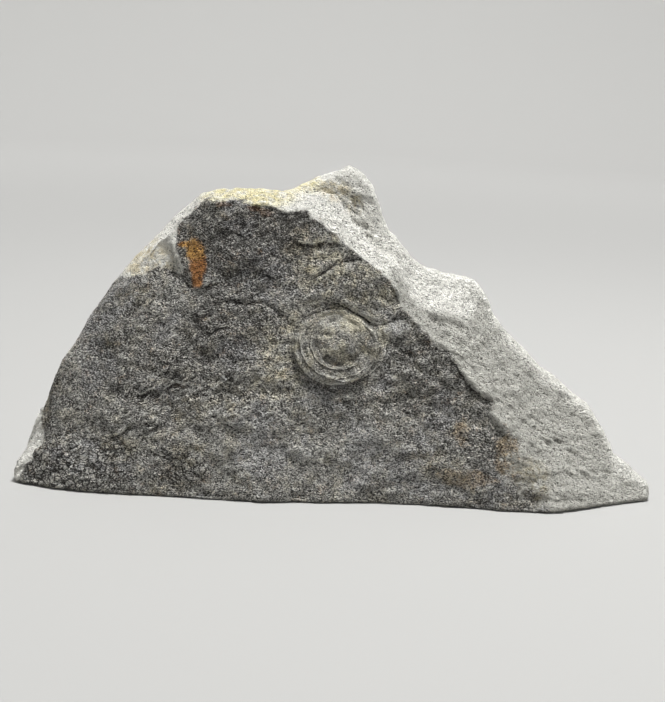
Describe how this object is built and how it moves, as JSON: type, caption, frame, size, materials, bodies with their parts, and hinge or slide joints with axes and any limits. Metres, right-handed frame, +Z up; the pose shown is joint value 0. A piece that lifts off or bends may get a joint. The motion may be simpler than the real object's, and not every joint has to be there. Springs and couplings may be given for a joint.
{
  "type": "jellyfish fossil",
  "caption": "Triangular sandstone slab standing on its broad base, with the ringed disc of a stranded jellyfish on its stained front face.",
  "frame": {"origin": "middle of the slab's box, on the flat base that it stands on", "axes": "+X along the slab's length, to the right as its fossil face is looked at; +Y from the fossil face towards the back; +Z up"},
  "size_m": [0.3074, 0.0925, 0.1525],
  "materials": {
    "sandstone": "matte"
  },
  "bodies": {
    "root": {"fossil_slab": "sandstone"}
  },
  "joints": []
}
